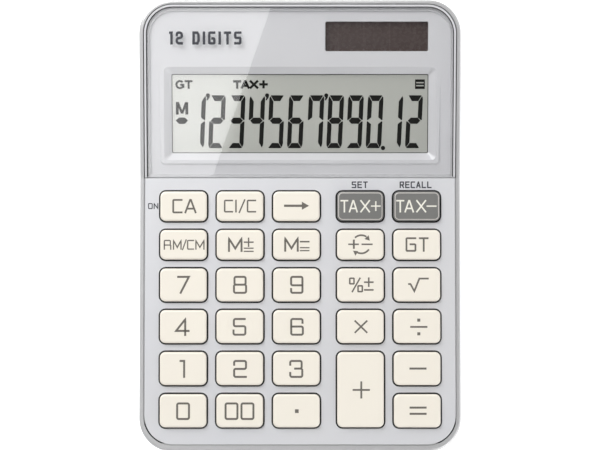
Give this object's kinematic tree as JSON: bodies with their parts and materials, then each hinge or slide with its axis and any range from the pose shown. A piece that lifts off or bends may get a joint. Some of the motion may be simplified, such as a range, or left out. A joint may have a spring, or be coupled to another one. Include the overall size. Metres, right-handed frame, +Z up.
{
  "type": "desk calculator",
  "caption": "Wedge-shaped desk calculator with an inclined display window, a raised LCD frame, a solar cell, sprung keys and a sliding battery door.",
  "frame": {"origin": "centre of the footprint on the plane the rubber feet stand on", "axes": "+X to the user's right, +Y away from the user, +Z up"},
  "size_m": [0.1076, 0.1498, 0.0272],
  "materials": {
    "casing_silver": "satin silver moulded plastic",
    "plate_aluminium": "brushed satin, chamfered edge",
    "bezel_silver": "silver metallic plastic",
    "window_clear": "clear acrylic",
    "adhesive": "black foam adhesive",
    "key_ivory": "satin ivory",
    "key_grey": "satin dark grey",
    "solar_brown": "dark brown amorphous silicon on glass",
    "lcd_glass": "LCD glass",
    "lcd_film": "polarizing film, greenish grey",
    "lcd_back": "reflector film",
    "holder_black": "black moulded plastic",
    "ribbon": "amber polyimide film",
    "pcb": "green solder mask on paper laminate",
    "epoxy": "black potting resin",
    "component": "black component bodies",
    "can": "capacitor can",
    "mat_rubber": "translucent grey silicone",
    "pill": "carbon-filled silicone",
    "screw_steel": "zinc-plated steel",
    "cell_steel": "nickel-plated steel",
    "contact_nickel": "nickel-plated spring steel",
    "wire_solar": "white insulated wire",
    "wire_battery": "red insulated wire",
    "foot_rubber": "dark grey rubber",
    "label_film": "blank silver label"
  },
  "bodies": {
    "casing": {"lower_case": "casing_silver", "upper_case": "casing_silver", "face_plate": "plate_aluminium", "display_bezel": "bezel_silver", "display_window": "window_clear", "window_adhesive": "adhesive", "solar_cell": "solar_brown", "solar_leads": "wire_solar", "lcd_front_glass": "lcd_glass", "lcd_rear_glass": "lcd_glass", "lcd_front_polarizer": "lcd_film", "lcd_reflector": "lcd_back", "lcd_holder": "holder_black", "lcd_holder_screws": "screw_steel", "lcd_ribbon": "ribbon", "main_pcb": "pcb", "chip_blob": "epoxy", "chip_resistors": "component", "capacitor": "can", "pcb_screws": "screw_steel", "dome_mat": "mat_rubber", "contact_pills": "pill", "button_cell": "cell_steel", "battery_contact_positive": "contact_nickel", "battery_contact_negative": "contact_nickel", "battery_leads": "wire_battery", "case_screws": "screw_steel", "front_feet": "foot_rubber", "rear_feet": "foot_rubber", "rating_label": "label_film"},
    "door": {"battery_door": "casing_silver"},
    "keycap_clear_all": {"key_clear_all": "key_ivory"},
    "keycap_clear_entry": {"key_clear_entry": "key_ivory"},
    "keycap_right_shift": {"key_right_shift": "key_ivory"},
    "keycap_tax_plus": {"key_tax_plus": "key_grey"},
    "keycap_tax_minus": {"key_tax_minus": "key_grey"},
    "keycap_memory_recall": {"key_memory_recall": "key_ivory"},
    "keycap_memory_plus": {"key_memory_plus": "key_ivory"},
    "keycap_memory_minus": {"key_memory_minus": "key_ivory"},
    "keycap_sign_change": {"key_sign_change": "key_ivory"},
    "keycap_grand_total": {"key_grand_total": "key_ivory"},
    "keycap_7": {"key_7": "key_ivory"},
    "keycap_8": {"key_8": "key_ivory"},
    "keycap_9": {"key_9": "key_ivory"},
    "keycap_percent": {"key_percent": "key_ivory"},
    "keycap_square_root": {"key_square_root": "key_ivory"},
    "keycap_4": {"key_4": "key_ivory"},
    "keycap_5": {"key_5": "key_ivory"},
    "keycap_6": {"key_6": "key_ivory"},
    "keycap_multiply": {"key_multiply": "key_ivory"},
    "keycap_divide": {"key_divide": "key_ivory"},
    "keycap_1": {"key_1": "key_ivory"},
    "keycap_2": {"key_2": "key_ivory"},
    "keycap_3": {"key_3": "key_ivory"},
    "keycap_subtract": {"key_subtract": "key_ivory"},
    "keycap_0": {"key_0": "key_ivory"},
    "keycap_double_zero": {"key_double_zero": "key_ivory"},
    "keycap_decimal_point": {"key_decimal_point": "key_ivory"},
    "keycap_equals": {"key_equals": "key_ivory"},
    "keycap_add": {"key_add": "key_ivory"}
  },
  "joints": [
    {"name": "key_clear_all_press", "type": "slide", "parent": "casing", "child": "keycap_clear_all", "axis": [0, 0.0698, -0.9976], "range_m": [0, 0.0012], "stiffness_N_per_m": 500, "springref_m": -0.0008, "deforming": ["dome_mat", "contact_pills"]},
    {"name": "key_clear_entry_press", "type": "slide", "parent": "casing", "child": "keycap_clear_entry", "axis": [0, 0.0698, -0.9976], "range_m": [0, 0.0012], "stiffness_N_per_m": 500, "springref_m": -0.0008, "deforming": ["dome_mat", "contact_pills"]},
    {"name": "key_right_shift_press", "type": "slide", "parent": "casing", "child": "keycap_right_shift", "axis": [0, 0.0698, -0.9976], "range_m": [0, 0.0012], "stiffness_N_per_m": 500, "springref_m": -0.0008, "deforming": ["dome_mat", "contact_pills"]},
    {"name": "key_tax_plus_press", "type": "slide", "parent": "casing", "child": "keycap_tax_plus", "axis": [0, 0.0698, -0.9976], "range_m": [0, 0.0012], "stiffness_N_per_m": 500, "springref_m": -0.0008, "deforming": ["dome_mat", "contact_pills"]},
    {"name": "key_tax_minus_press", "type": "slide", "parent": "casing", "child": "keycap_tax_minus", "axis": [0, 0.0698, -0.9976], "range_m": [0, 0.0012], "stiffness_N_per_m": 500, "springref_m": -0.0008, "deforming": ["dome_mat", "contact_pills"]},
    {"name": "key_memory_recall_press", "type": "slide", "parent": "casing", "child": "keycap_memory_recall", "axis": [0, 0.0698, -0.9976], "range_m": [0, 0.0012], "stiffness_N_per_m": 500, "springref_m": -0.0008, "deforming": ["dome_mat", "contact_pills"]},
    {"name": "key_memory_plus_press", "type": "slide", "parent": "casing", "child": "keycap_memory_plus", "axis": [0, 0.0698, -0.9976], "range_m": [0, 0.0012], "stiffness_N_per_m": 500, "springref_m": -0.0008, "deforming": ["dome_mat", "contact_pills"]},
    {"name": "key_memory_minus_press", "type": "slide", "parent": "casing", "child": "keycap_memory_minus", "axis": [0, 0.0698, -0.9976], "range_m": [0, 0.0012], "stiffness_N_per_m": 500, "springref_m": -0.0008, "deforming": ["dome_mat", "contact_pills"]},
    {"name": "key_sign_change_press", "type": "slide", "parent": "casing", "child": "keycap_sign_change", "axis": [0, 0.0698, -0.9976], "range_m": [0, 0.0012], "stiffness_N_per_m": 500, "springref_m": -0.0008, "deforming": ["dome_mat", "contact_pills"]},
    {"name": "key_grand_total_press", "type": "slide", "parent": "casing", "child": "keycap_grand_total", "axis": [0, 0.0698, -0.9976], "range_m": [0, 0.0012], "stiffness_N_per_m": 500, "springref_m": -0.0008, "deforming": ["dome_mat", "contact_pills"]},
    {"name": "key_7_press", "type": "slide", "parent": "casing", "child": "keycap_7", "axis": [0, 0.0698, -0.9976], "range_m": [0, 0.0012], "stiffness_N_per_m": 500, "springref_m": -0.0008, "deforming": ["dome_mat", "contact_pills"]},
    {"name": "key_8_press", "type": "slide", "parent": "casing", "child": "keycap_8", "axis": [0, 0.0698, -0.9976], "range_m": [0, 0.0012], "stiffness_N_per_m": 500, "springref_m": -0.0008, "deforming": ["dome_mat", "contact_pills"]},
    {"name": "key_9_press", "type": "slide", "parent": "casing", "child": "keycap_9", "axis": [0, 0.0698, -0.9976], "range_m": [0, 0.0012], "stiffness_N_per_m": 500, "springref_m": -0.0008, "deforming": ["dome_mat", "contact_pills"]},
    {"name": "key_percent_press", "type": "slide", "parent": "casing", "child": "keycap_percent", "axis": [0, 0.0698, -0.9976], "range_m": [0, 0.0012], "stiffness_N_per_m": 500, "springref_m": -0.0008, "deforming": ["dome_mat", "contact_pills"]},
    {"name": "key_square_root_press", "type": "slide", "parent": "casing", "child": "keycap_square_root", "axis": [0, 0.0698, -0.9976], "range_m": [0, 0.0012], "stiffness_N_per_m": 500, "springref_m": -0.0008, "deforming": ["dome_mat", "contact_pills"]},
    {"name": "key_4_press", "type": "slide", "parent": "casing", "child": "keycap_4", "axis": [0, 0.0698, -0.9976], "range_m": [0, 0.0012], "stiffness_N_per_m": 500, "springref_m": -0.0008, "deforming": ["dome_mat", "contact_pills"]},
    {"name": "key_5_press", "type": "slide", "parent": "casing", "child": "keycap_5", "axis": [0, 0.0698, -0.9976], "range_m": [0, 0.0012], "stiffness_N_per_m": 500, "springref_m": -0.0008, "deforming": ["dome_mat", "contact_pills"]},
    {"name": "key_6_press", "type": "slide", "parent": "casing", "child": "keycap_6", "axis": [0, 0.0698, -0.9976], "range_m": [0, 0.0012], "stiffness_N_per_m": 500, "springref_m": -0.0008, "deforming": ["dome_mat", "contact_pills"]},
    {"name": "key_multiply_press", "type": "slide", "parent": "casing", "child": "keycap_multiply", "axis": [0, 0.0698, -0.9976], "range_m": [0, 0.0012], "stiffness_N_per_m": 500, "springref_m": -0.0008, "deforming": ["dome_mat", "contact_pills"]},
    {"name": "key_divide_press", "type": "slide", "parent": "casing", "child": "keycap_divide", "axis": [0, 0.0698, -0.9976], "range_m": [0, 0.0012], "stiffness_N_per_m": 500, "springref_m": -0.0008, "deforming": ["dome_mat", "contact_pills"]},
    {"name": "key_1_press", "type": "slide", "parent": "casing", "child": "keycap_1", "axis": [0, 0.0698, -0.9976], "range_m": [0, 0.0012], "stiffness_N_per_m": 500, "springref_m": -0.0008, "deforming": ["dome_mat", "contact_pills"]},
    {"name": "key_2_press", "type": "slide", "parent": "casing", "child": "keycap_2", "axis": [0, 0.0698, -0.9976], "range_m": [0, 0.0012], "stiffness_N_per_m": 500, "springref_m": -0.0008, "deforming": ["dome_mat", "contact_pills"]},
    {"name": "key_3_press", "type": "slide", "parent": "casing", "child": "keycap_3", "axis": [0, 0.0698, -0.9976], "range_m": [0, 0.0012], "stiffness_N_per_m": 500, "springref_m": -0.0008, "deforming": ["dome_mat", "contact_pills"]},
    {"name": "key_subtract_press", "type": "slide", "parent": "casing", "child": "keycap_subtract", "axis": [0, 0.0698, -0.9976], "range_m": [0, 0.0012], "stiffness_N_per_m": 500, "springref_m": -0.0008, "deforming": ["dome_mat", "contact_pills"]},
    {"name": "key_0_press", "type": "slide", "parent": "casing", "child": "keycap_0", "axis": [0, 0.0698, -0.9976], "range_m": [0, 0.0012], "stiffness_N_per_m": 500, "springref_m": -0.0008, "deforming": ["dome_mat", "contact_pills"]},
    {"name": "key_double_zero_press", "type": "slide", "parent": "casing", "child": "keycap_double_zero", "axis": [0, 0.0698, -0.9976], "range_m": [0, 0.0012], "stiffness_N_per_m": 500, "springref_m": -0.0008, "deforming": ["dome_mat", "contact_pills"]},
    {"name": "key_decimal_point_press", "type": "slide", "parent": "casing", "child": "keycap_decimal_point", "axis": [0, 0.0698, -0.9976], "range_m": [0, 0.0012], "stiffness_N_per_m": 500, "springref_m": -0.0008, "deforming": ["dome_mat", "contact_pills"]},
    {"name": "key_equals_press", "type": "slide", "parent": "casing", "child": "keycap_equals", "axis": [0, 0.0698, -0.9976], "range_m": [0, 0.0012], "stiffness_N_per_m": 500, "springref_m": -0.0008, "deforming": ["dome_mat", "contact_pills"]},
    {"name": "key_add_press", "type": "slide", "parent": "casing", "child": "keycap_add", "axis": [0, 0.0698, -0.9976], "range_m": [0, 0.0012], "stiffness_N_per_m": 500, "springref_m": -0.0008, "deforming": ["dome_mat", "contact_pills"]},
    {"name": "battery_door_slide", "type": "slide", "parent": "casing", "child": "door", "axis": [0, 1, 0], "range_m": [0, 0.018]}
  ]
}
